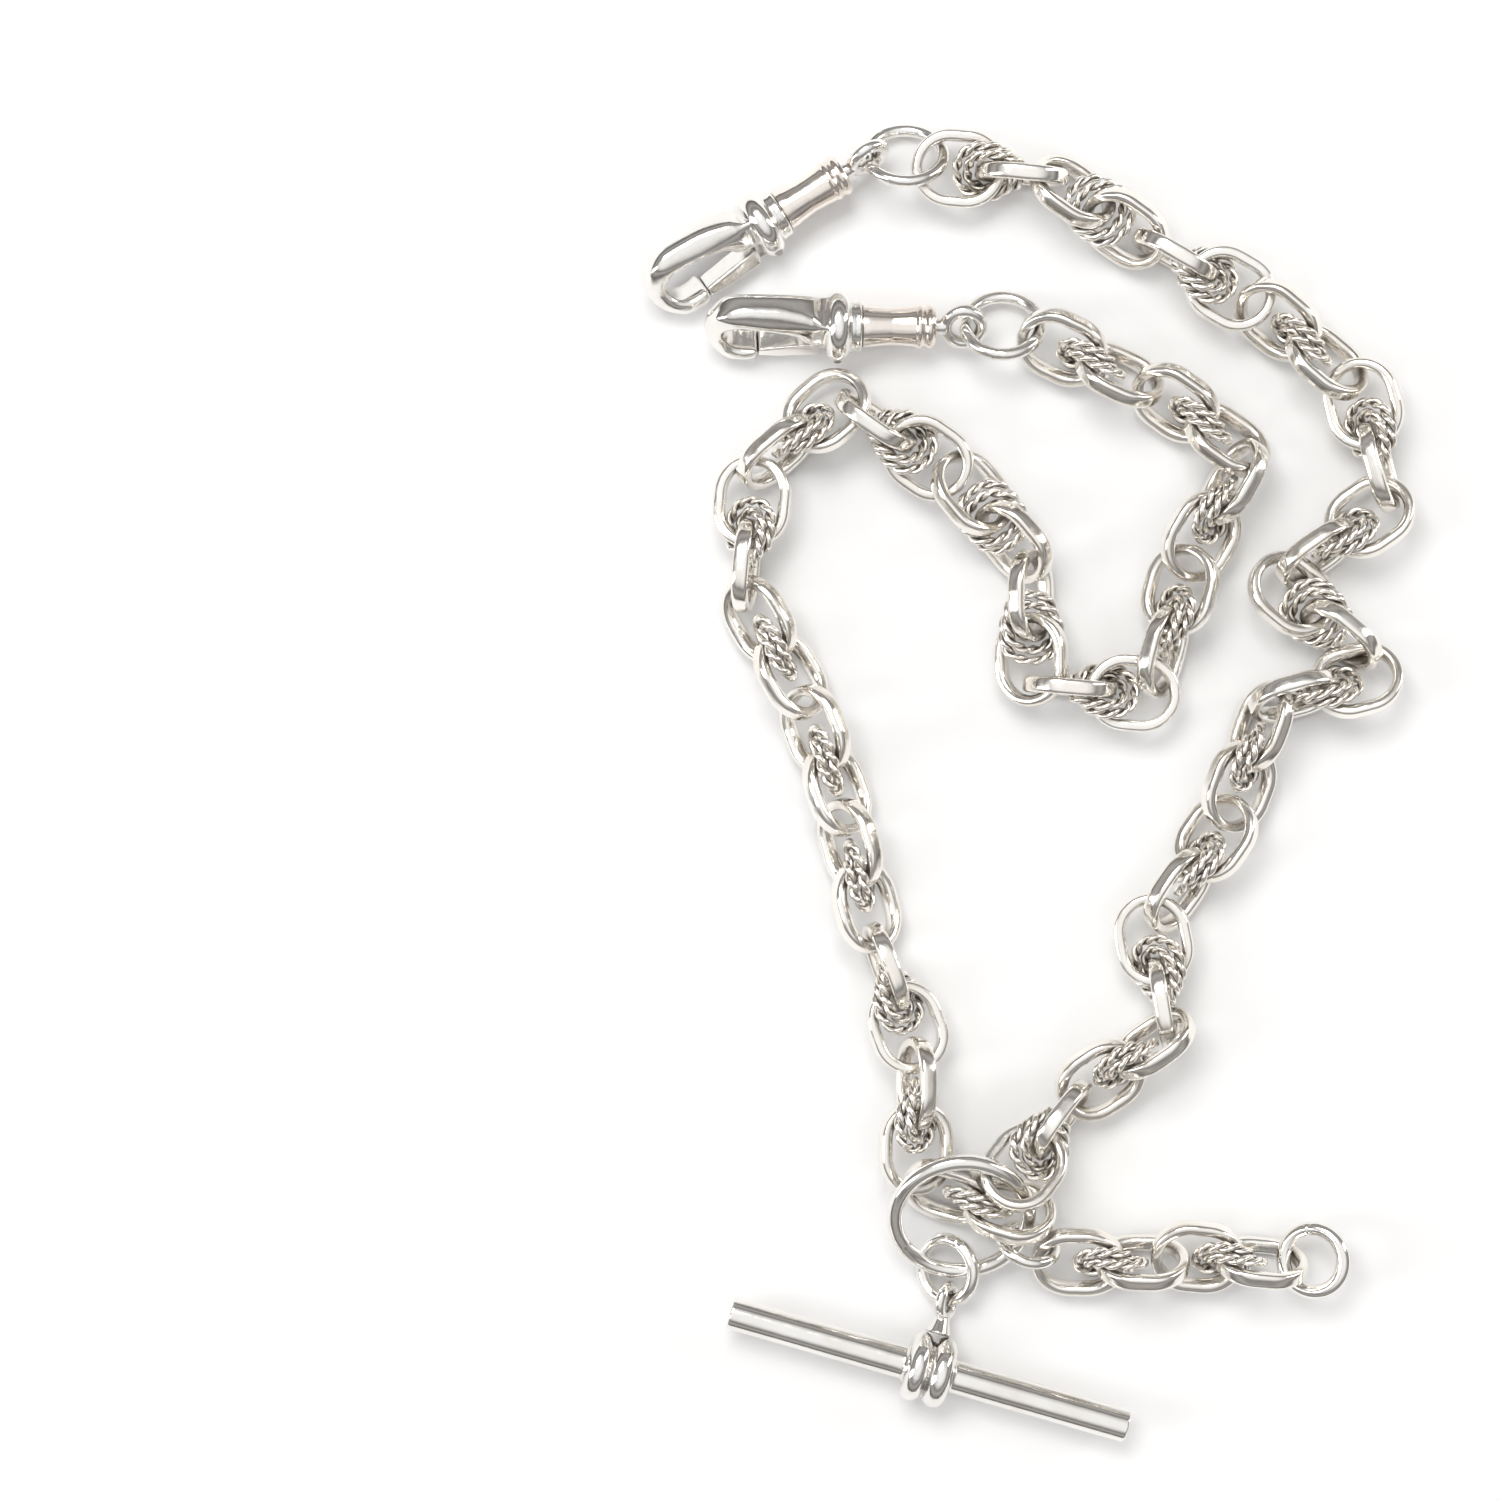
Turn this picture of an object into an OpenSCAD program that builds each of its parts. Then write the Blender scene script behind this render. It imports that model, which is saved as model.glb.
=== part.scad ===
// Double Albert pocket watch chain: two chains of knotted links that run from two
// swivel clips to one centre ring, with a T-bar and a short drop chain on the same ring.
// Everything lies at rest on the plane z = 0, +Z up, millimetres.

/* [Chain links] */
// Outer length of a plain oval link
link_l = 7.4; // [6.8:0.1:7.8]
// Outer width of a plain oval link
link_w = 6.1; // [5.8:0.1:6.3]
// In-plane width of the flattened wire of a plain link
wire_w = 0.9; // [0.7:0.05:0.95]
// Thickness of the flattened wire across a plain link
wire_t = 1.3; // [1.0:0.05:1.35]
// Chamfer on the flattened wire
wire_c = 0.24; // [0.1:0.02:0.3]
// Centreline radius of a twisted wire link
twist_r = 2.2; // [2.0:0.05:2.3]
// Diameter of the twisted wire
twist_d = 0.78; // [0.6:0.02:0.8]

/* [Rings] */
// Centreline radius of the centre ring
centre_r = 5.2; // [4.8:0.1:5.6]
// Wire of the centre ring
centre_d = 1.25; // [1.0:0.05:1.3]
// Centreline radius of the two swivel jump rings
jump_r = 2.95; // [2.8:0.05:3.2]
// Wire of the two swivel jump rings
jump_d = 1.0; // [0.8:0.05:1.05]
// Centreline radius of the T-bar ring
tring_r = 2.4; // [2.3:0.05:2.5]
// Wire of the T-bar ring
tring_d = 1.0; // [0.8:0.05:1.0]
// Centreline radius of the drop ring
dring_r = 2.15; // [2.1:0.05:2.25]
// Wire of the drop ring
dring_d = 0.95; // [0.8:0.05:0.95]
// Centreline radius of the end ring
ering_r = 2.45; // [2.3:0.05:2.6]
// Wire of the end ring
ering_d = 1.15; // [1.0:0.05:1.2]

/* [Swivel clips] */
// Diameter of the collar bead
collar_d = 5.5; // [5.2:0.1:5.8]
// Width of the hook body
hook_w = 3.0; // [2.8:0.1:3.2]
// Diameter of the hook opening
hook_bore = 3.5; // [3.2:0.1:3.6]
// Diameter of the gate hinge pin
pin_d = 0.6; // [0.5:0.05:0.7]
// Gap between the pin and the gate's hole, on the radius
pin_gap = 0.04; // [0.02:0.01:0.08]
// Diameter of the barrel at its waist
barrel_d = 2.9; // [2.7:0.1:3.1]
// Centreline radius of the swivel eye
eye_r = 1.4; // [1.35:0.05:1.5]
// Wire of the swivel eye
eye_d = 1.0; // [0.9:0.05:1.05]
// Diameter of the eye's shank in the barrel
shank_d = 1.2; // [1.0:0.05:1.3]
// Gap between the shank and the barrel's bore, on the radius
shank_gap = 0.05; // [0.03:0.01:0.08]

/* [T-bar] */
// Length of the bar
bar_l = 32.3; // [30:0.1:35]
// Diameter of the bar
bar_d = 2.6; // [2.4:0.1:2.8]
// Diameter of the seat under the collar
bar_seat_d = 3.2; // [3:0.1:3.4]
// Diameter of the bar's collar
bar_collar_d = 5.6; // [5:0.1:6]
// Centreline radius of the T-bar eye
bar_eye_r = 1.2; // [1.15:0.05:1.3]
// Wire of the T-bar eye
bar_eye_d = 0.85; // [0.7:0.05:0.9]

/* [Hidden] */
$fn = 48;
eps = 0.01;
// how far each link sits along its knot, and its turn about the knot's axis
plain_x = 2.5;
twist_x = 0.42;
twist_turn = [33, 57];
// all of it moves together so the middle of the box stands on the origin
shift = [-4.8, -33, 0];
silver = [0.80, 0.79, 0.77];
dark = [0.62, 0.61, 0.60];
rose = [0.82, 0.74, 0.68];

// route of the chains: [x, y, z, heading, climb, turn] of each knot and ring
LONG = [
  [1.8, 80.5, 3.05, -5, 0, 3],
  [10.3, 77.5, 3.05, -35, 0, -45],
  [18.4, 72.6, 3.05, -30, 0, 90],
  [26.2, 67.3, 3.05, -40, 0, 45],
  [31.6, 59.9, 3.05, -75, 0, 20],
  [29.4, 52.1, 3.05, -145, 0, 25],
  [27.3, 45.9, 3.05, -40, 0, -20],
  [28, 40.15, 3.05, -165, 0, 25],
  [22.1, 34.8, 3.05, -110, 0, 60],
  [18, 26.4, 3.05, -125, 0, 35],
  [15, 18, 3.05, -80, 0, 10],
  [12.4, 11, 3.7, -145, -5, 65],
  [5.8, 4.7, 4.4, -130, 20, 105]
];
INNER = [
  [9.7, 65.7, 3.05, -25, 0, 40],
  [18.3, 61, 3.05, -35, 0, 45],
  [19.55, 54.1, 3.05, -120, 0, 65],
  [16, 45.4, 3.05, -105, 0, 30],
  [10.5, 40, 3.05, 175, 0, 0],
  [5, 44.9, 3.05, 90, 0, -30],
  [2, 53.5, 3.05, 130, 0, 125],
  [-5.1, 59.6, 3.05, 145, 0, -15],
  [-12.9, 60.2, 3.05, -140, 0, 25],
  [-17, 52.2, 3.05, -95, 0, 10],
  [-15, 43.3, 3.05, -60, 0, 45],
  [-11, 34.5, 3.05, -70, 0, 45],
  [-8.5, 25.5, 3.05, -75, 0, 50],
  [-5.5, 16, 3.05, -70, 0, 80],
  [-4, 6.8, 3.5, -90, 0, 70],
  [0.9, 0.1, 3.05, -15, 10, 45]
];
DROP = [
  [11.2, -4.7, 3.05, 0, 5, 30],
  [20.5, -4.5, 3.05, -5, 0, 25]
];
CENTRE = [-0.5, -1, 4.4, -5, -5, 30];
TRING = [-1.5, -5.4, 2, 0, 35, 5];
DRING = [4.8, -3.3, 3, -5, -15, -55];
ERING = [27, -4.5, 3.4, 0, 25, 0];
UJUMP = [-4.8, 81.8, 2.65, 0, 0, -40];
LJUMP = [2.8, 68.5, 2.7, 0, 0, -35];
// swivel clips: collar centre, heading, climb, turn of the body, turn of the eye
USWIVEL = [-16.1, 76.4, 2.9, 32, 0, -45, 70];
LSWIVEL = [-10.1, 68.4, 3.2, 0, -2, -28, 35];
// T-bar: middle of the collar, heading of the bar, turn of the eye's post
TBAR = [-3, -13.1, 2.8, -16, 0, -10, -30];

// ---------- placing ----------
module at(p) {
  translate([p[0], p[1], p[2]] + shift) rotate([0, 0, p[3]]) rotate([0, -p[4], 0]) rotate([p[5], 0, 0]) children();
}

// ---------- links ----------
module flat_wire() {
  a = wire_w / 2;
  b = wire_t / 2;
  c = wire_c;
  polygon([[a, b - c], [a - c, b], [c - a, b], [-a, b - c], [-a, c - b], [c - a, -b], [a - c, -b], [a, c - b]]);
}

// oval link of flattened wire lying in the XY plane
module plain_link() {
  r = (link_w - wire_w) / 2;
  s = (link_l - link_w) / 2;
  union() {
    translate([s, 0, 0]) rotate([0, 0, -90]) rotate_extrude(angle = 180) translate([r, 0]) flat_wire();
    translate([-s, 0, 0]) rotate([0, 0, 90]) rotate_extrude(angle = 180) translate([r, 0]) flat_wire();
    for (m = [-1, 1]) translate([-s, m * r, 0]) rotate([90, 0, 90]) linear_extrude(2 * s) flat_wire();
  }
}

// round link of twisted wire, drawn at its outside diameter
module twisted_link() {
  rotate_extrude() translate([twist_r, 0]) circle(d = twist_d);
}

// a knot is four links through each other: plain, twisted, twisted, plain
module knot() {
  translate([-plain_x, 0, 0]) plain_link();
  rotate([twist_turn[0], 0, 0]) translate([-twist_x, 0, 0]) twisted_link();
  rotate([twist_turn[1], 0, 0]) translate([twist_x, 0, 0]) twisted_link();
  rotate([90, 0, 0]) translate([plain_x, 0, 0]) plain_link();
}

module ring(r, d) {
  rotate_extrude() translate([r, 0]) circle(d = d);
}

// ---------- swivel clip, along X: hook to -X, eye to +X, gate side down ----------
hook_c = -7.35;  // centre of the hook's round end
hook_r = 3.05;   // radius of the hook's round end
eye_x = 9.85;    // centre of the swivel eye
pivot_z = -1.55; // the gate's hinge pin, on the collar's centre line
gate_t = 0.84;   // thickness of the gate's root in the collar's slot

module turned(x0, x1, d0, d1) {
  translate([x0, 0, 0]) rotate([0, 90, 0]) cylinder(h = x1 - x0, d1 = d0, d2 = d1);
}

// half-round bead round the X axis
module bead(x, w, d) {
  translate([x, 0, 0]) rotate([0, 90, 0]) rotate_extrude() union() {
    translate([0, -w / 2]) square([d / 2 - w / 2, w]);
    translate([d / 2 - w / 2, 0]) intersection() {
      circle(d = w);
      translate([0, -w / 2]) square([w, w]);
    }
  }
}

module hook_side() {
  difference() {
    union() {
      translate([hook_c, 0]) circle(r = hook_r);
      polygon([[hook_c, hook_r], [-4.6, 2.95], [-2.6, 2.55], [-1.2, 1.95], [0.2, 1.7], [0.2, -0.4], [-2.2, -0.4], [-2.8, -0.1], [hook_c, -0.1]]);
    }
    translate([hook_c, -0.25]) circle(d = hook_bore);
    // the opening that the gate closes
    polygon([[hook_c, 1.5], [-5.4, 1.25], [-3.4, 0.75], [-2.5, -0.4], [-2.5, -4], [-6.3, -4], [-6.3, -0.25], [hook_c, -0.25]]);
  }
}

module hook_plan() {
  w = hook_w / 2;
  polygon([[1, -w], [1, w], [-5.6, w], [-8.4, w - 0.2], [-9.7, w - 0.7], [-10.5, w - 1.25], [-10.5, 1.25 - w], [-9.7, 0.7 - w], [-8.4, 0.2 - w], [-5.6, -w]]);
}

module hook_section() {
  w = hook_w / 2 + 0.02;
  polygon([[-w, -2.3], [-0.95, -3.2], [0.95, -3.2], [w, -2.3], [w, 1.7], [0.8, 3.1], [-0.8, 3.1], [-w, 1.7]]);
}

module hook_body() {
  difference() {
    union() {
      intersection() {
        rotate([90, 0, 0]) linear_extrude(6, center = true) hook_side();
        translate([0, 0, -5]) linear_extrude(10) hook_plan();
        rotate([90, 0, 90]) translate([0, 0, -12]) linear_extrude(13) hook_section();
      }
      bead(0, 1.95, collar_d);
      bead(1.18, 0.42, 4.1);
      bead(1.62, 0.46, 4.1);
      turned(0.5, 1.85, 3.2, 3.2);
      turned(1.8, 2.6, 1.96, 1.96);
    }
    // slot for the gate's root
    translate([-1.4, -gate_t / 2 - 0.06, -3.2]) cube([2.46, gate_t + 0.12, 2.75]);
    // hole for the hinge pin
    translate([0, 0, pivot_z]) rotate([90, 0, 0]) cylinder(h = 8, d = pin_d, center = true);
  }
}

module gate_side() {
  difference() {
    union() {
      translate([0, pivot_z]) circle(r = 0.92);
      polygon([[0, pivot_z + 0.9], [-0.9, -1.0], [-2.0, -1.35], [-3.0, -1.45], [-6.18, -1.95], [-6.18, -2.75], [-4.6, -2.85], [-2.2, -2.7], [-0.2, pivot_z - 0.9]]);
    }
    translate([0, pivot_z]) circle(d = pin_d + 2 * pin_gap);
  }
}

module gate_lever() {
  union() {
    rotate([90, 0, 0]) linear_extrude(gate_t, center = true) gate_side();
    intersection() {
      rotate([90, 0, 0]) linear_extrude(1.9, center = true) gate_side();
      translate([-7, -1, -4]) cube([5.55, 2, 4]);
    }
    // thumb knob
    translate([-3.5, 0, -2.7]) sphere(d = 1.15);
  }
}

module hinge_pin() {
  translate([0, 0, pivot_z]) rotate([90, 0, 0]) cylinder(h = 4.5, d = pin_d, center = true);
}

module leaf_spring() {
  rotate([90, 0, 0]) linear_extrude(0.9, center = true)
    polygon([[-1.5, -0.4], [-2.45, -0.42], [-3.35, 0.62], [-4.6, 0.95], [-4.6, 0.83], [-3.3, 0.48], [-2.4, -0.55], [-1.5, -0.55]]);
}

// barrel with two end beads; the eye's shank turns in its bore
module barrel() {
  difference() {
    union() {
      turned(1.87, 2.4, 3.3, 3.3);
      turned(2.4, 4.2, 3.3, barrel_d);
      turned(4.2, 6.0, barrel_d, 3.2);
      turned(5.9, 7.6, 3.1, 3.1);
      bead(6.35, 0.62, 3.5);
      bead(7.15, 0.7, 3.5);
    }
    turned(1.8, 2.62, 2.0, 2.0);
    turned(4.7, 6.3, 2.16, 2.16);
    turned(6.2, 7.8, shank_d + 2 * shank_gap, shank_d + 2 * shank_gap);
  }
}

module swivel_eye() {
  union() {
    translate([eye_x, 0, 0]) rotate_extrude() translate([eye_r, 0]) circle(d = eye_d);
    turned(5.6, eye_x - eye_r, shank_d, shank_d);
    turned(4.95, 5.75, 2.0, 2.0);
  }
}

// the same place without the turn
module along(p) {
  translate([p[0], p[1], p[2]] + shift) rotate([0, 0, p[3]]) rotate([0, -p[4], 0]) children();
}

// ---------- T-bar, bar along X ----------
module t_bar() {
  union() {
    turned(-bar_l / 2, bar_l / 2, bar_d, bar_d);
    turned(-1.9, 1.9, bar_seat_d, bar_seat_d); // raised seat that the collar is pressed on
  }
}

module t_collar() {
  difference() {
    union() {
      bead(-0.95, 1.7, bar_collar_d - 0.1);
      bead(0.9, 1.9, bar_collar_d);
      turned(-1.75, 1.85, 3.9, 3.9);
    }
    turned(-3, 3, bar_seat_d, bar_seat_d);
  }
}

module t_eye() {
  union() {
    translate([0, 5.5, 0]) rotate([0, 90, 0]) rotate_extrude() translate([bar_eye_r, 0]) circle(d = bar_eye_d);
    rotate([-90, 0, 0]) translate([0, 0, 2.85]) cylinder(h = 1.5, d1 = 2.0, d2 = 1.0);
  }
}

// ---------- sub-parts ----------
module long_chain_knot_01() { color(silver) at(LONG[0]) knot(); }
module long_chain_knot_02() { color(silver) at(LONG[1]) knot(); }
module long_chain_knot_03() { color(silver) at(LONG[2]) knot(); }
module long_chain_knot_04() { color(silver) at(LONG[3]) knot(); }
module long_chain_knot_05() { color(silver) at(LONG[4]) knot(); }
module long_chain_knot_06() { color(silver) at(LONG[5]) knot(); }
module long_chain_knot_07() { color(silver) at(LONG[6]) knot(); }
module long_chain_knot_08() { color(silver) at(LONG[7]) knot(); }
module long_chain_knot_09() { color(silver) at(LONG[8]) knot(); }
module long_chain_knot_10() { color(silver) at(LONG[9]) knot(); }
module long_chain_knot_11() { color(silver) at(LONG[10]) knot(); }
module long_chain_knot_12() { color(silver) at(LONG[11]) knot(); }
module long_chain_knot_13() { color(silver) at(LONG[12]) knot(); }
module inner_chain_knot_01() { color(silver) at(INNER[0]) knot(); }
module inner_chain_knot_02() { color(silver) at(INNER[1]) knot(); }
module inner_chain_knot_03() { color(silver) at(INNER[2]) knot(); }
module inner_chain_knot_04() { color(silver) at(INNER[3]) knot(); }
module inner_chain_knot_05() { color(silver) at(INNER[4]) knot(); }
module inner_chain_knot_06() { color(silver) at(INNER[5]) knot(); }
module inner_chain_knot_07() { color(silver) at(INNER[6]) knot(); }
module inner_chain_knot_08() { color(silver) at(INNER[7]) knot(); }
module inner_chain_knot_09() { color(silver) at(INNER[8]) knot(); }
module inner_chain_knot_10() { color(silver) at(INNER[9]) knot(); }
module inner_chain_knot_11() { color(silver) at(INNER[10]) knot(); }
module inner_chain_knot_12() { color(silver) at(INNER[11]) knot(); }
module inner_chain_knot_13() { color(silver) at(INNER[12]) knot(); }
module inner_chain_knot_14() { color(silver) at(INNER[13]) knot(); }
module inner_chain_knot_15() { color(silver) at(INNER[14]) knot(); }
module inner_chain_knot_16() { color(silver) at(INNER[15]) knot(); }
module drop_chain_knot_01() { color(silver) at(DROP[0]) knot(); }
module drop_chain_knot_02() { color(silver) at(DROP[1]) knot(); }
module centre_ring() { color(silver) at(CENTRE) ring(centre_r, centre_d); }
module t_bar_ring() { color(silver) at(TRING) ring(tring_r, tring_d); }
module drop_ring() { color(silver) at(DRING) ring(dring_r, dring_d); }
module end_ring() { color(silver) at(ERING) ring(ering_r, ering_d); }
module upper_jump_ring() { color(silver) at(UJUMP) ring(jump_r, jump_d); }
module lower_jump_ring() { color(silver) at(LJUMP) ring(jump_r, jump_d); }
module upper_hook_body() { color(silver) at(USWIVEL) hook_body(); }
module upper_gate_lever() { color(silver) at(USWIVEL) gate_lever(); }
module upper_hinge_pin() { color(dark) at(USWIVEL) hinge_pin(); }
module upper_leaf_spring() { color(dark) at(USWIVEL) leaf_spring(); }
module upper_barrel() { color(rose) at(USWIVEL) barrel(); }
module upper_swivel_eye() { color(silver) along(USWIVEL) rotate([USWIVEL[6], 0, 0]) swivel_eye(); }
module lower_hook_body() { color(silver) at(LSWIVEL) hook_body(); }
module lower_gate_lever() { color(silver) at(LSWIVEL) gate_lever(); }
module lower_hinge_pin() { color(dark) at(LSWIVEL) hinge_pin(); }
module lower_leaf_spring() { color(dark) at(LSWIVEL) leaf_spring(); }
module lower_barrel() { color(rose) at(LSWIVEL) barrel(); }
module lower_swivel_eye() { color(silver) along(LSWIVEL) rotate([LSWIVEL[6], 0, 0]) swivel_eye(); }
module bar() { color(silver) at(TBAR) t_bar(); }
module bar_collar() { color(silver) at(TBAR) t_collar(); }
module bar_eye() { color(silver) at(TBAR) rotate([0, TBAR[6], 0]) t_eye(); }

long_chain_knot_01();
long_chain_knot_02();
long_chain_knot_03();
long_chain_knot_04();
long_chain_knot_05();
long_chain_knot_06();
long_chain_knot_07();
long_chain_knot_08();
long_chain_knot_09();
long_chain_knot_10();
long_chain_knot_11();
long_chain_knot_12();
long_chain_knot_13();
inner_chain_knot_01();
inner_chain_knot_02();
inner_chain_knot_03();
inner_chain_knot_04();
inner_chain_knot_05();
inner_chain_knot_06();
inner_chain_knot_07();
inner_chain_knot_08();
inner_chain_knot_09();
inner_chain_knot_10();
inner_chain_knot_11();
inner_chain_knot_12();
inner_chain_knot_13();
inner_chain_knot_14();
inner_chain_knot_15();
inner_chain_knot_16();
drop_chain_knot_01();
drop_chain_knot_02();
centre_ring();
t_bar_ring();
drop_ring();
end_ring();
upper_jump_ring();
lower_jump_ring();
upper_hook_body();
upper_gate_lever();
upper_hinge_pin();
upper_leaf_spring();
upper_barrel();
upper_swivel_eye();
lower_hook_body();
lower_gate_lever();
lower_hinge_pin();
lower_leaf_spring();
lower_barrel();
lower_swivel_eye();
bar();
bar_collar();
bar_eye();
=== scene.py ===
"""Pocket watch chain: the look of it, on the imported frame. Metres; lengths inside the builders are millimetres times MM."""
import math
import bpy
import bmesh
import numpy as np
from mathutils import Matrix, Vector


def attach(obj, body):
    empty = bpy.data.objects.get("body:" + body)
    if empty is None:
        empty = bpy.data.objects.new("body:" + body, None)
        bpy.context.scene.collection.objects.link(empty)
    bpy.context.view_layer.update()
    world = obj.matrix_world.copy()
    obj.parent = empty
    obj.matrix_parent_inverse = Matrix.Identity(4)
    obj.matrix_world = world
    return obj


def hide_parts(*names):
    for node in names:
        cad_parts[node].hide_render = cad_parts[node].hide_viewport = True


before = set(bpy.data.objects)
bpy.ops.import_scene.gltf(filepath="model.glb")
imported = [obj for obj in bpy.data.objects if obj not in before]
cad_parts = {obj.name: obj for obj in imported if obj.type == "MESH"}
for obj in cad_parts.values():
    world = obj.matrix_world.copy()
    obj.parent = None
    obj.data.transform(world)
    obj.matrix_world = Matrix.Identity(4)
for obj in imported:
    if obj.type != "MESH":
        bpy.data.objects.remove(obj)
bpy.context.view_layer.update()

MM = 0.001

# ------------------------------------------------------------------ the design's own sizes and places, as in part.scad
SHIFT = (-4.8, -33.0, 0.0)
# route of the chains: [x, y, z, heading, climb, turn] of each knot and ring
LONG = [
  [1.8, 80.5, 3.05, -5, 0, 3],
  [10.3, 77.5, 3.05, -35, 0, -45],
  [18.4, 72.6, 3.05, -30, 0, 90],
  [26.2, 67.3, 3.05, -40, 0, 45],
  [31.6, 59.9, 3.05, -75, 0, 20],
  [29.4, 52.1, 3.05, -145, 0, 25],
  [27.3, 45.9, 3.05, -40, 0, -20],
  [28, 40.15, 3.05, -165, 0, 25],
  [22.1, 34.8, 3.05, -110, 0, 60],
  [18, 26.4, 3.05, -125, 0, 35],
  [15, 18, 3.05, -80, 0, 10],
  [12.4, 11, 3.7, -145, -5, 65],
  [5.8, 4.7, 4.4, -130, 20, 105]
] 
INNER = [
  [9.7, 65.7, 3.05, -25, 0, 40],
  [18.3, 61, 3.05, -35, 0, 45],
  [19.55, 54.1, 3.05, -120, 0, 65],
  [16, 45.4, 3.05, -105, 0, 30],
  [10.5, 40, 3.05, 175, 0, 0],
  [5, 44.9, 3.05, 90, 0, -30],
  [2, 53.5, 3.05, 130, 0, 125],
  [-5.1, 59.6, 3.05, 145, 0, -15],
  [-12.9, 60.2, 3.05, -140, 0, 25],
  [-17, 52.2, 3.05, -95, 0, 10],
  [-15, 43.3, 3.05, -60, 0, 45],
  [-11, 34.5, 3.05, -70, 0, 45],
  [-8.5, 25.5, 3.05, -75, 0, 50],
  [-5.5, 16, 3.05, -70, 0, 80],
  [-4, 6.8, 3.5, -90, 0, 70],
  [0.9, 0.1, 3.05, -15, 10, 45]
] 
DROP = [
  [11.2, -4.7, 3.05, 0, 5, 30],
  [20.5, -4.5, 3.05, -5, 0, 25]
] 
CENTRE = [-0.5, -1, 4.4, -5, -5, 30] 
TRING = [-1.5, -5.4, 2, 0, 35, 5] 
DRING = [4.8, -3.3, 3, -5, -15, -55] 
ERING = [27, -4.5, 3.4, 0, 25, 0] 
UJUMP = [-4.8, 81.8, 2.65, 0, 0, -40] 
LJUMP = [2.8, 68.5, 2.7, 0, 0, -35] 
# swivel clips: collar centre, heading, climb, turn of the body, turn of the eye
USWIVEL = [-16.1, 76.4, 2.9, 32, 0, -45, 70] 
LSWIVEL = [-10.1, 68.4, 3.2, 0, -2, -28, 35] 
# T-bar: middle of the collar, heading of the bar, turn of the eye's post
TBAR = [-3, -13.1, 2.8, -16, 0, -10, -30]

LINK_L, LINK_W, WIRE_W, WIRE_T = 7.4, 6.1, 0.9, 1.3
TWIST_R, TWIST_D = 2.2, 0.78
PLAIN_X, TWIST_X, TWIST_TURN = 2.5, 0.42, (33, 57)


def at(row):
    x, y, z, head, climb, turn = row[:6]
    return (Matrix.Translation((x + SHIFT[0], y + SHIFT[1], z + SHIFT[2]))
            @ Matrix.Rotation(math.radians(head), 4, "Z")
            @ Matrix.Rotation(math.radians(-climb), 4, "Y")
            @ Matrix.Rotation(math.radians(turn), 4, "X"))


def turned(deg):
    return Matrix.Rotation(math.radians(deg), 4, "X")


# ------------------------------------------------------------------ small mesh kit (numpy, millimetres)
class Soup:
    """Vertices and faces gathered from several closed sweeps, with a material number for each face."""

    def __init__(self):
        self.v, self.f, self.m, self.n = [], [], [], 0

    def add(self, v, f, mat=0, place=None):
        v = np.asarray(v, float)
        if place is not None:
            M = np.array(place)
            v = v @ M[:3, :3].T + M[:3, 3]
        self.v.append(v)
        self.f += [tuple(i + self.n for i in q) for q in f]
        self.m += [mat] * len(f)
        self.n += len(v)

    def object(self, name, mats, smooth=True):
        me = bpy.data.meshes.new(name)
        v = np.vstack(self.v) * MM
        me.from_pydata(v.tolist(), [], self.f)
        me.polygons.foreach_set("material_index", self.m)
        me.polygons.foreach_set("use_smooth", [smooth] * len(self.f))
        for m in mats:
            me.materials.append(m)
        me.update()
        o = bpy.data.objects.new(name, me)
        bpy.context.scene.collection.objects.link(o)
        return o


def loop_faces(n, k):
    """quads of a closed loop of n sections with k points each"""
    f = []
    for i in range(n):
        a, b = i * k, ((i + 1) % n) * k
        for j in range(k):
            j2 = (j + 1) % k
            f.append((a + j, b + j, b + j2, a + j2))
    return f


def flat_section(k=22, groove=0.06):
    """flattened wire: soft corners and one fine groove along the outer face"""
    pts = []
    for i in range(k):
        t = 2 * math.pi * (i + 0.5) / k
        c, s = math.cos(t), math.sin(t)
        a = WIRE_W / 2 * math.copysign(abs(c) ** 0.62, c)
        b = WIRE_T / 2 * math.copysign(abs(s) ** 0.66, s)
        if c > 0:
            a -= groove * math.exp(-(b / 0.15) ** 2)
        pts.append((a, b))
    return np.array(pts)


def oval_path(n_arc=26, n_str=5):
    r, s = (LINK_W - WIRE_W) / 2, (LINK_L - LINK_W) / 2
    P, N = [], []
    for i in range(n_arc):
        t = -math.pi / 2 + math.pi * i / (n_arc - 1)
        P.append((s + r * math.cos(t), r * math.sin(t)))
        N.append((math.cos(t), math.sin(t)))
    for i in range(1, n_str):
        P.append((s - 2 * s * i / n_str, r)); N.append((0, 1))
    for i in range(n_arc):
        t = math.pi / 2 + math.pi * i / (n_arc - 1)
        P.append((-s + r * math.cos(t), r * math.sin(t)))
        N.append((math.cos(t), math.sin(t)))
    for i in range(1, n_str):
        P.append((-s + 2 * s * i / n_str, -r)); N.append((0, -1))
    return np.array(P), np.array(N)


OVAL = oval_path()
FLAT = flat_section()


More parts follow.
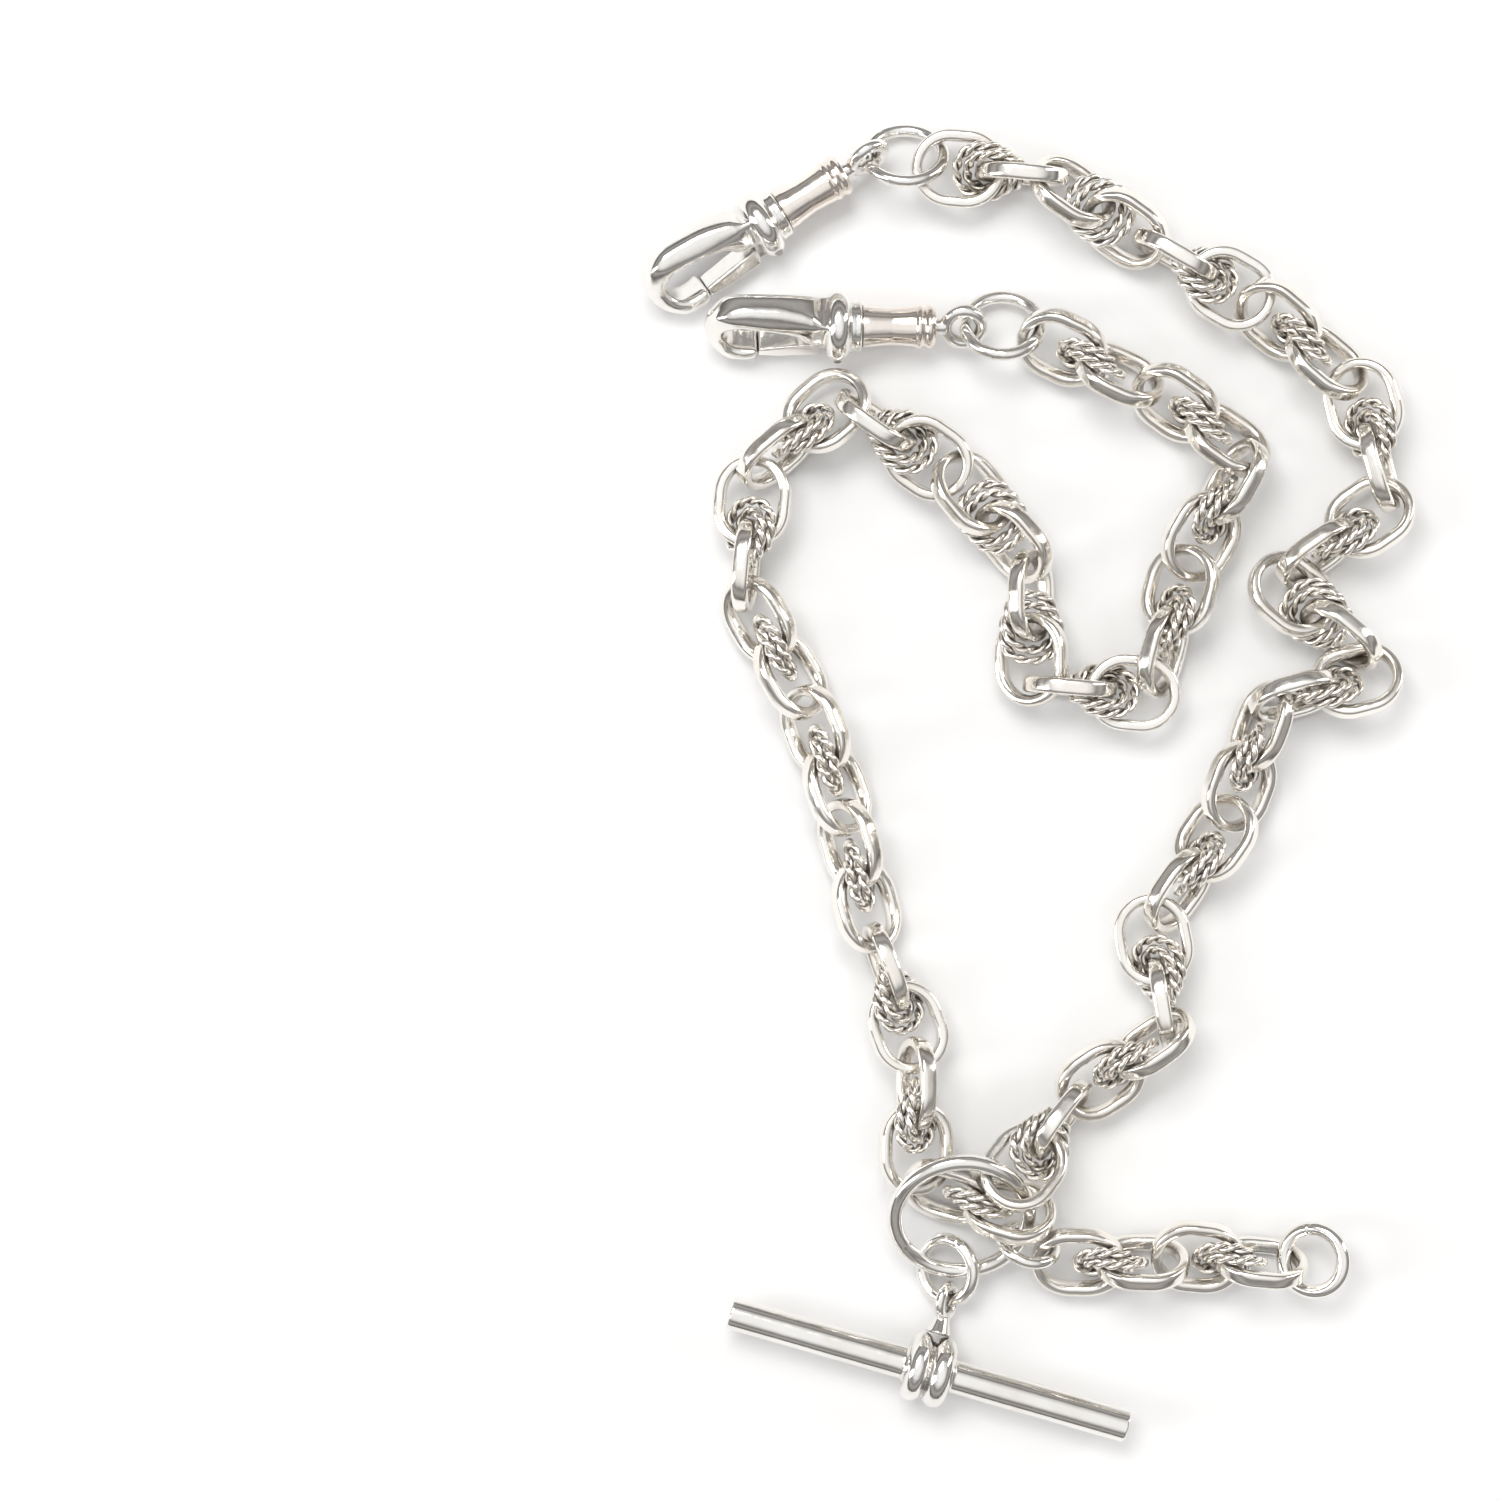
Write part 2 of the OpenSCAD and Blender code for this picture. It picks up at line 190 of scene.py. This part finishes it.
def plain_link(rng, seam_side=1):
    """oval link of flattened wire, a little hand-made, with its soldered seam on one long side"""
    P, N = OVAL
    n, k = len(P), len(FLAT)
    ang = np.arctan2(P[:, 1], P[:, 0])
    wob = 0.008 * np.sin(2 * ang + rng.uniform(0, 6.28)) + 0.005 * np.sin(3 * ang + rng.uniform(0, 6.28))
    lift = 0.006 * np.sin(2 * ang + rng.uniform(0, 6.28))
    side = 1 if seam_side > 0 else -1
    d = np.hypot(P[:, 0] - rng.uniform(-0.3, 0.3), P[:, 1] - side * 2.6)
    seam = 0.035 * np.exp(-(d / 0.22) ** 2) - 0.03 * np.exp(-(d / 0.10) ** 2)
    worn = -0.035 * np.exp(-((np.abs(ang) - 0.0) / 0.35) ** 2) - 0.035 * np.exp(-((np.abs(ang) - math.pi) / 0.35) ** 2)
    V = np.zeros((n, k, 3))
    inner = -0.06 * np.clip(1.5 - np.abs(P[:, 0]) / 2.0, 0, 1) ** 0.7
    for j, (a, b) in enumerate(FLAT):
        g = 1 + seam / 0.45
        aa = a * g + ((inner - worn) * abs(a) / 0.45 if a < 0 else 0)
        V[:, j, 0] = P[:, 0] + N[:, 0] * (aa + wob)
        V[:, j, 1] = P[:, 1] + N[:, 1] * (aa + wob)
        V[:, j, 2] = b * (1 + seam / 0.65) + lift
    return V.reshape(-1, 3), loop_faces(n, k)


def twisted_link(rng, turns=6, per=22, sides=8):
    """round link of two strands twisted round each other"""
    n = turns * per
    out = []
    ph0 = rng.uniform(0, 6.28)
    th = 2 * math.pi * np.arange(n) / n
    # the sides of the link are fuller than its ends, which are drawn tight
    full = 0.08 * np.sin(th) ** 2
    rho, rs = TWIST_D / 2 - 0.2 + 0.45 * full, 0.2 + 0.55 * full
    wob = 0.006 * np.sin(2 * th + rng.uniform(0, 6.28))
    for s in (0, 1):
        ph = turns * th + ph0 + s * math.pi
        R = TWIST_R + wob + rho * np.cos(ph)
        # a round link pulled a little square by the links it holds: its sides run straighter
        soft = 1 + 0.05 * np.sin(2 * th) ** 2
        C = np.stack([R * soft * np.cos(th), R * soft * np.sin(th), rho * np.sin(ph)], 1)
        rad = np.stack([np.cos(th), np.sin(th), 0 * th], 1)
        n1 = rad * np.cos(ph)[:, None] + np.array([0, 0, 1.0]) * np.sin(ph)[:, None]
        T = np.roll(C, -1, 0) - np.roll(C, 1, 0)
        T /= np.linalg.norm(T, axis=1)[:, None]
        n1 -= T * (n1 * T).sum(1)[:, None]
        n1 /= np.linalg.norm(n1, axis=1)[:, None]
        n2 = np.cross(T, n1)
        a = 2 * math.pi * np.arange(sides) / sides
        V = C[:, None, :] + rs[:, None, None] * (np.cos(a)[None, :, None] * n1[:, None, :] + np.sin(a)[None, :, None] * n2[:, None, :])
        out.append((V.reshape(-1, 3), loop_faces(n, sides)))
    return out


def ring_link(rng, r, d, seam_at=None, n=96, k=20, gap=0.05):
    """plain round ring; the butted ends show as a hairline at seam_at degrees"""
    th = 2 * math.pi * np.arange(n) / n
    a = 2 * math.pi * np.arange(k) / k
    wob = 0.018 * np.sin(2 * th + rng.uniform(0, 6.28)) + 0.010 * np.sin(3 * th + rng.uniform(0, 6.28))
    pinch = np.zeros(n)
    if seam_at is not None:
        dd = (np.degrees(th) - seam_at + 180) % 360 - 180
        s = np.radians(dd) * r
        # pinch the wire round the seam into a hairline; the sections stay evenly spaced
        th = th - 0.0
        pinch = -gap * np.exp(-(s / 0.10) ** 2)
    V = np.zeros((n, k, 3))
    for j in range(k):
        rr = (d / 2 + pinch)
        V[:, j, 0] = (r + wob + rr * np.cos(a[j])) * np.cos(th)
        V[:, j, 1] = (r + wob + rr * np.cos(a[j])) * np.sin(th)
        V[:, j, 2] = rr * np.sin(a[j]) + 0.5 * wob
    return V.reshape(-1, 3), loop_faces(n, k)


# ------------------------------------------------------------------ materials
def nodes_of(name):
    m = bpy.data.materials.new(name)
    m.use_nodes = True
    nt = m.node_tree
    nt.nodes.clear()
    out = nt.nodes.new("ShaderNodeOutputMaterial")
    b = nt.nodes.new("ShaderNodeBsdfPrincipled")
    nt.links.new(b.outputs[0], out.inputs[0])
    return m, nt, b


def ramp(nt, src, stops):
    r = nt.nodes.new("ShaderNodeValToRGB")
    e = r.color_ramp.elements
    while len(e) < len(stops):
        e.new(0.5)
    for i, (p, c) in enumerate(stops):
        e[i].position = p
        e[i].color = (c[0], c[1], c[2], 1) if isinstance(c, (tuple, list)) else (c, c, c, 1)
    nt.links.new(src, r.inputs[0])
    return r.outputs[0]


def noise(nt, scale, detail=3.0, rough=0.5, stretch=None, offset=0.0):
    tc = nt.nodes.new("ShaderNodeTexCoord")
    mp = nt.nodes.new("ShaderNodeMapping")
    mp.inputs["Location"].default_value = (offset, offset * 0.7, offset * 1.3)
    if stretch:
        mp.inputs["Scale"].default_value = stretch
    nt.links.new(tc.outputs["Object"], mp.inputs[0])
    n = nt.nodes.new("ShaderNodeTexNoise")
    n.inputs["Scale"].default_value = scale
    n.inputs["Detail"].default_value = detail
    n.inputs["Roughness"].default_value = rough
    nt.links.new(mp.outputs[0], n.inputs["Vector"])
    return n.outputs["Fac"]


def math_node(nt, op, a, b=None, clamp=False):
    m = nt.nodes.new("ShaderNodeMath")
    m.operation = op
    m.use_clamp = clamp
    for i, x in enumerate((a, b)):
        if x is None:
            continue
        if isinstance(x, (int, float)):
            m.inputs[i].default_value = x
        else:
            nt.links.new(x, m.inputs[i])
    return m.outputs[0]


def mix(nt, fac, a, b):
    m = nt.nodes.new("ShaderNodeMix")
    m.data_type = "RGBA"
    for s, x in ((m.inputs[0], fac), (m.inputs[6], a), (m.inputs[7], b)):
        if isinstance(x, (int, float)):
            s.default_value = x
        elif isinstance(x, tuple):
            s.default_value = (x[0], x[1], x[2], 1)
        else:
            nt.links.new(x, s)
    return m.outputs[2]


def silver(name, bright, warm, patina_and_shade, depth=0.9, reach=0.6, rough=(0.10, 0.24), scratch=0.25, offset=0.0):
    """polished silver: colour drifts a little over the surface, brown-grey patina and painted shade darken the recesses
    found by ambient occlusion, worn edges stay bright
    """
    m, nt, b = nodes_of(name)
    drift = ramp(nt, noise(nt, 210, 2.0, 0.5, offset=offset), [(0.30, bright), (0.72, warm)])
    ao = nt.nodes.new("ShaderNodeAmbientOcclusion")
    ao.samples = 8
    ao.inputs["Distance"].default_value = reach * MM
    hid = ramp(nt, ao.outputs["AO"], [(0.22, 1.0), (0.86, 0.0)])
    patch = ramp(nt, noise(nt, 900, 4.0, 0.62, offset=offset + 3.1), [(0.30, 0.45), (0.68, 1.0)])
    # painted shade: the occlusion mask, broken up by noise, mixes the dark colour into recesses and the gaps between
    # wires; partly real patina, partly painted shade
    patina_shade_mask = math_node(nt, "MULTIPLY", math_node(nt, "MULTIPLY", hid, patch), depth, True)
    col = mix(nt, patina_shade_mask, drift, patina_and_shade)
    # faint film of toning on open faces
    film = ramp(nt, noise(nt, 480, 5.0, 0.6, offset=offset + 7.7), [(0.56, 0.0), (0.80, 0.30)])
    col = mix(nt, film, col, (warm[0] * 0.80, warm[1] * 0.74, warm[2] * 0.66))
    nt.links.new(col, b.inputs["Base Color"])
    b.inputs["Metallic"].default_value = 1.0
    rr = ramp(nt, noise(nt, 1500, 3.0, 0.6, offset=offset + 1.7), [(0.30, rough[0]), (0.75, rough[1])])
    rr = math_node(nt, "ADD", rr, math_node(nt, "MULTIPLY", patina_shade_mask, 0.35), True)
    nt.links.new(rr, b.inputs["Roughness"])
    # hair scratches, and the small dents of a chain that has been carried
    hair = noise(nt, 2600, 2.0, 0.5, (1.0, 0.12, 0.6), offset)
    hair2 = noise(nt, 2600, 2.0, 0.5, (0.14, 1.0, 0.5), offset + 5)
    dent = noise(nt, 620, 2.0, 0.5, offset=offset + 9)
    bump1 = nt.nodes.new("ShaderNodeBump")
    bump1.inputs["Strength"].default_value = scratch
    bump1.inputs["Distance"].default_value = 0.012 * MM
    nt.links.new(math_node(nt, "ADD", hair, hair2), bump1.inputs["Height"])
    bump2 = nt.nodes.new("ShaderNodeBump")
    bump2.inputs["Strength"].default_value = 0.5
    bump2.inputs["Distance"].default_value = 0.05 * MM
    nt.links.new(dent, bump2.inputs["Height"])
    nt.links.new(bump1.outputs[0], bump2.inputs["Normal"])
    nt.links.new(bump2.outputs[0], b.inputs["Normal"])
    return m


# the third colour of each silver is the dark tone put into recesses: partly patina, partly painted shade; the twisted
# links get the darkest, for painted shade between the strands
BRIGHT = (0.975, 0.955, 0.915)
WARM = (0.90, 0.855, 0.785)
PATINA_AND_SHADE = (0.115, 0.082, 0.052)
M_PLAIN = silver("silver_plain_links", BRIGHT, WARM, PATINA_AND_SHADE, 1.0, 1.4)
M_TWIST = silver("silver_twisted_links", (0.97, 0.945, 0.90), (0.89, 0.84, 0.765), (0.07, 0.048, 0.030), 1.0, 0.75, (0.12, 0.28), offset=2.3)
M_RING = silver("silver_rings", (0.94, 0.93, 0.905), (0.88, 0.85, 0.80), PATINA_AND_SHADE, 0.7, 0.5, (0.06, 0.16), offset=4.1)
M_CLIP = silver("silver_clips", (0.93, 0.92, 0.90), (0.86, 0.83, 0.785), (0.17, 0.14, 0.11), 0.9, 0.6, (0.08, 0.20), offset=6.2)
M_ROSE = silver("silver_barrels", (0.93, 0.88, 0.83), (0.88, 0.80, 0.73), (0.22, 0.155, 0.12), 0.9, 0.6, (0.09, 0.22), offset=8.4)
M_BAR = silver("silver_t_bar", (0.93, 0.92, 0.90), (0.85, 0.82, 0.775), (0.18, 0.15, 0.115), 0.9, 0.6, (0.08, 0.20), offset=10.6)
M_STEEL = silver("steel_parts", (0.62, 0.60, 0.58), (0.50, 0.47, 0.44), (0.10, 0.085, 0.07), 0.9, 0.3, (0.25, 0.42), offset=12.8)

# ------------------------------------------------------------------ the knots of the chains
rng = np.random.default_rng(1907)


def knot(name, row):
    s = Soup()
    base = at(row)
    s.add(*plain_link(rng, 1 if rng.random() < 0.5 else -1), 0, base @ Matrix.Translation((-PLAIN_X, 0, 0)))
    for x, t in ((-TWIST_X, TWIST_TURN[0]), (TWIST_X, TWIST_TURN[1])):
        for v, f in twisted_link(rng):
            s.add(v, f, 1, base @ turned(t) @ Matrix.Translation((x, 0, 0)))
    s.add(*plain_link(rng, 1 if rng.random() < 0.5 else -1), 0, base @ turned(90) @ Matrix.Translation((PLAIN_X, 0, 0)))
    o = s.object(name + "_links", [M_PLAIN, M_TWIST])
    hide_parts(name)
    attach(o, name)
    return o


for prefix, rows in (("long_chain", LONG), ("inner_chain", INNER), ("drop_chain", DROP)):
    for i, row in enumerate(rows):
        knot("%s_knot_%02d" % (prefix, i + 1), row)

# ------------------------------------------------------------------ rings
RINGS = (("centre_ring", CENTRE, 5.2, 1.25, 215), ("t_bar_ring", TRING, 2.4, 1.0, 60), ("drop_ring", DRING, 2.15, 0.95, 200),
         ("end_ring", ERING, 2.45, 1.15, 95), ("upper_jump_ring", UJUMP, 2.95, 1.0, 128), ("lower_jump_ring", LJUMP, 2.95, 1.0, 262))
for name, row, r, d, seam in RINGS:
    s = Soup()
    s.add(*ring_link(rng, r, d, seam, n=120 if d < 1.2 else 160), 0, at(row))
    o = s.object(name + "_wire", [M_RING])
    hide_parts(name)
    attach(o, name)


# ------------------------------------------------------------------ clips and T-bar: the CAD shape, rounded over as on a cast and polished piece
def relax(v, edges, weight, steps):
    """moves each point towards the middle of its neighbours"""
    n = len(v)
    a, b = edges[:, 0], edges[:, 1]
    cnt = np.maximum(np.bincount(np.concatenate([a, b]), minlength=n), 1)[:, None]
    for _ in range(steps):
        s = np.stack([np.bincount(a, v[b, k], n) + np.bincount(b, v[a, k], n) for k in range(3)], 1) / cnt
        v = v + 0.5 * weight[:, None] * (s - v)
    return v


def softened(node, body, mat, voxel, steps, place=None, heavy=0, grow=0.0, zone=None):
    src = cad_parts[node]
    o = bpy.data.objects.new(node + "_polished", src.data.copy())
    bpy.context.scene.collection.objects.link(o)
    w = o.modifiers.new("weld", "WELD")
    w.merge_threshold = 1e-6
    r = o.modifiers.new("remesh", "REMESH")
    r.mode = "VOXEL"
    r.voxel_size = voxel * MM * 1.0
    new = bpy.data.meshes.new_from_object(o.evaluated_get(bpy.context.evaluated_depsgraph_get()))
    o.modifiers.clear()
    o.data = new
    n = len(new.vertices)
    v = np.empty(n * 3)
    new.vertices.foreach_get("co", v)
    v = v.reshape(-1, 3)
    edges = np.empty(len(new.edges) * 2, int)
    new.edges.foreach_get("vertices", edges)
    edges = edges.reshape(-1, 2)
    v = relax(v, edges, np.ones(n), max(2, steps // (1)))
    if heavy:
        M = np.array(place.inverted())
        loc = (v / MM) @ M[:3, :3].T + M[:3, 3]
        wt = zone(loc)
        v = relax(v, edges, wt, heavy // (1))
        new.vertices.foreach_set("co", v.ravel())
        new.update()
        nor = np.empty(n * 3)
        new.vertices.foreach_get("normal", nor)
        v = v + nor.reshape(-1, 3) * wt[:, None] * grow * MM
    new.vertices.foreach_set("co", v.ravel())
    new.materials.clear()
    new.materials.append(mat)
    new.polygons.foreach_set("material_index", [0] * len(new.polygons))
    new.polygons.foreach_set("use_smooth", [True] * len(new.polygons))
    new.update()
    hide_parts(node)
    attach(o, body)
    return o


def hook_zone(p):
    return np.clip((-1.35 - p[:, 0]) / 0.7, 0, 1)


def gate_zone(p):
    return np.clip((-1.6 - p[:, 0]) / 0.8, 0, 1) * 0.7


for s, row in (("upper", USWIVEL), ("lower", LSWIVEL)):
    softened(s + "_hook_body", s + "_clip", M_CLIP, 0.09, 5, at(row), 110, 0.16, hook_zone)
    softened(s + "_gate_lever", s + "_gate", M_CLIP, 0.07, 4, at(row), 14, 0.03, gate_zone)
    softened(s + "_barrel", s + "_clip", M_ROSE, 0.07, 3)
    softened(s + "_swivel_eye", s + "_swivel_eye", M_CLIP, 0.06, 3)
softened("bar_collar", "t_bar", M_BAR, 0.08, 4)
softened("bar_eye", "t_bar", M_BAR, 0.06, 3)
softened("bar", "t_bar", M_BAR, 0.09, 4)
for s in ("upper", "lower"):
    for n in ("hinge_pin", "leaf_spring"):
        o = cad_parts["%s_%s" % (s, n)]
        for k in range(len(o.material_slots)):
            o.material_slots[k].material = M_STEEL

# ------------------------------------------------------------------ floor, light, camera
fm, nt, b = nodes_of("floor_paper")
fcol = ramp(nt, noise(nt, 14, 3.0, 0.5), [(0.35, (0.93, 0.93, 0.935)), (0.70, (0.955, 0.955, 0.955))])
nt.links.new(fcol, b.inputs["Base Color"])
b.inputs["Roughness"].default_value = 0.85
bpy.ops.mesh.primitive_plane_add(size=3.0, location=(0, 0, 0))
floor = bpy.context.object
floor.name = "floor"
floor.data.materials.append(fm)


def softbox(name, loc, target, size, power, color=(1, 1, 1)):
    l = bpy.data.lights.new(name, "AREA")
    l.shape = "RECTANGLE"
    l.size, l.size_y = size
    l.energy = power
    l.color = color
    o = bpy.data.objects.new(name, l)
    o.location = loc
    o.rotation_euler = (Vector(target) - Vector(loc)).to_track_quat("-Z", "Y").to_euler()
    bpy.context.scene.collection.objects.link(o)
    return o


MID = (-0.0217, 0.0023, 0.0)
softbox("key", (-0.16, 0.30, 0.62), MID, (0.40, 0.28), 2.2, (1.0, 0.99, 0.97))
softbox("fill", (-0.62, -0.10, 0.34), MID, (0.22, 0.50), 1.5, (0.97, 0.985, 1.0))
softbox("rim", (0.58, 0.26, 0.26), MID, (0.16, 0.44), 1.2, (1.0, 0.98, 0.95))

w = bpy.data.worlds.new("studio")
bpy.context.scene.world = w
w.use_nodes = True
nt = w.node_tree
nt.nodes.clear()
out = nt.nodes.new("ShaderNodeOutputWorld")
bg = nt.nodes.new("ShaderNodeBackground")
tc = nt.nodes.new("ShaderNodeTexCoord")
sep = nt.nodes.new("ShaderNodeSeparateXYZ")
nt.links.new(tc.outputs["Generated"], sep.inputs[0])
up = ramp(nt, math_node(nt, "ADD", math_node(nt, "MULTIPLY", sep.outputs[2], 0.5), 0.5),
          [(0.48, (0.10, 0.09, 0.08)), (0.56, (0.16, 0.15, 0.14)), (0.70, (0.42, 0.41, 0.40)), (0.80, (0.20, 0.19, 0.185)), (0.90, (0.75, 0.745, 0.74)), (0.97, (0.98, 0.98, 0.98))])
nt.links.new(up, bg.inputs[0])
bg.inputs[1].default_value = 1.0
nt.links.new(bg.outputs[0], out.inputs[0])

cam = bpy.data.cameras.new("camera")
cam.sensor_fit = "HORIZONTAL"
cam.sensor_width = 36.0
cam.lens = 100.0
co = bpy.data.objects.new("camera", cam)
WIDE = 1500 / 12.8 * MM
dist = WIDE * cam.lens / cam.sensor_width
co.location = ((750 - 967) / 12.8 * MM + SHIFT[0] * MM, (1202 - 750) / 12.8 * MM + SHIFT[1] * MM, 0.003 + dist)
co.rotation_euler = (0, 0, 0)
cam.clip_start = 0.01
cam.clip_end = 10
bpy.context.scene.collection.objects.link(co)
bpy.context.scene.camera = co
bpy.context.scene.view_settings.view_transform = "Standard"
